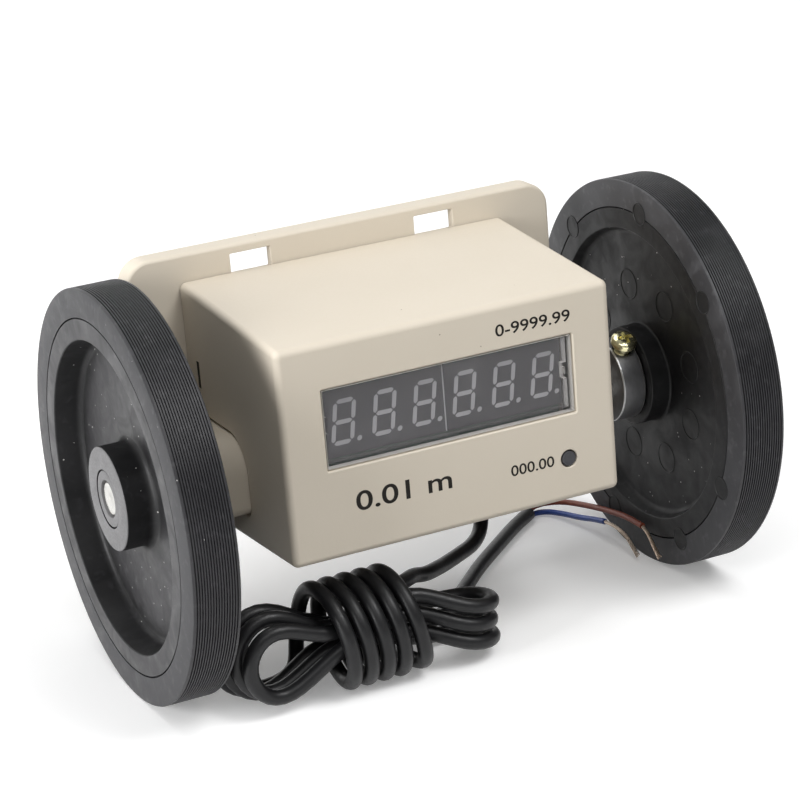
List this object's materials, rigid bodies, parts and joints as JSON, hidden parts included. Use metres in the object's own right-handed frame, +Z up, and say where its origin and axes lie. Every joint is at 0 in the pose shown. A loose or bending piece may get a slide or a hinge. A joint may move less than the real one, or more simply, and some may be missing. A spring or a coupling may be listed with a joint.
{
  "type": "measuring wheel",
  "caption": "Length counter with two rubber-tyred measuring wheels on one axle, a digital counter case between them and a tied two-core cord.",
  "frame": {"origin": "on the floor, straight below the middle of the axle between the two wheels", "axes": "+X along the axle, from the plain wheel to the wheel beside the clamp collar; -Y the way the display faces; +Z up"},
  "size_m": [0.1484, 0.0954, 0.0955],
  "materials": {
    "ivory_plastic": "fine grained moulding, warm ivory",
    "black_plastic": "satin moulding, black",
    "tyre_rubber": "fine ribbed tread, black",
    "bright_steel": "turned, bright",
    "dull_steel": "turned, dull",
    "yellow_zinc": "yellow passivated zinc",
    "bearing_bronze": "sintered bronze",
    "clear_plastic": "clear acrylic",
    "display_grey": "satin grey with pale segments",
    "button_grey": "matte dark grey",
    "circuit_board": "green solder mask",
    "core_iron": "lacquered laminations",
    "winding_tape": "yellow insulating tape",
    "capacitor_sleeve": "dark blue sleeve",
    "chip_black": "moulded black",
    "encoder_film": "smooth dark film",
    "cord_black": "smooth black sheath",
    "core_brown": "brown insulation",
    "core_blue": "blue insulation",
    "tinned_copper": "tinned twisted strands"
  },
  "bodies": {
    "housing": {"base_plate": "ivory_plastic", "front_cover": "ivory_plastic", "display_lens": "clear_plastic", "led_module_left": "display_grey", "led_module_right": "display_grey", "display_board": "circuit_board", "display_screw_upper_left": "yellow_zinc", "display_screw_upper_right": "yellow_zinc", "display_screw_lower_left": "yellow_zinc", "display_screw_lower_right": "yellow_zinc", "reset_switch": "chip_black", "main_board": "circuit_board", "main_screw_upper_left": "yellow_zinc", "main_screw_upper_right": "yellow_zinc", "main_screw_lower_left": "yellow_zinc", "main_screw_lower_right": "yellow_zinc", "transformer_core": "core_iron", "transformer_winding": "winding_tape", "smoothing_capacitor": "capacitor_sleeve", "counter_chip": "chip_black", "photo_interrupter": "chip_black", "left_bearing_bush": "bearing_bronze", "right_bearing_bush": "bearing_bronze", "case_screw_upper_left": "yellow_zinc", "case_screw_upper_right": "yellow_zinc", "case_screw_lower_left": "yellow_zinc", "case_screw_lower_right": "yellow_zinc", "cord_gland": "cord_black", "cord_lead": "cord_black", "cord_hank": "cord_black", "cord_tail": "cord_black", "brown_core": "core_brown", "blue_core": "core_blue", "brown_strand": "tinned_copper", "blue_strand": "tinned_copper"},
    "wheels": {"axle_shaft": "bright_steel", "left_wheel_hub": "black_plastic", "right_wheel_hub": "black_plastic", "left_tyre": "tyre_rubber", "right_tyre": "tyre_rubber", "left_hub_insert": "black_plastic", "right_hub_insert": "black_plastic", "clamp_collar": "dull_steel", "collar_screw": "yellow_zinc", "left_retaining_ring": "bright_steel", "right_retaining_ring": "bright_steel", "encoder_disc": "encoder_film", "encoder_hub": "chip_black"},
    "reset": {"reset_button": "button_grey"}
  },
  "joints": [
    {"name": "wheel_spin", "type": "hinge", "parent": "housing", "child": "wheels", "pos_m": [0, 0, 0.04775], "axis": [1, 0, 0], "continuous": true},
    {"name": "reset_press", "type": "slide", "parent": "housing", "child": "reset", "axis": [0, 1, 0], "range_m": [0, 0.0008], "stiffness_N_per_m": 300, "springref_m": -0.001}
  ]
}
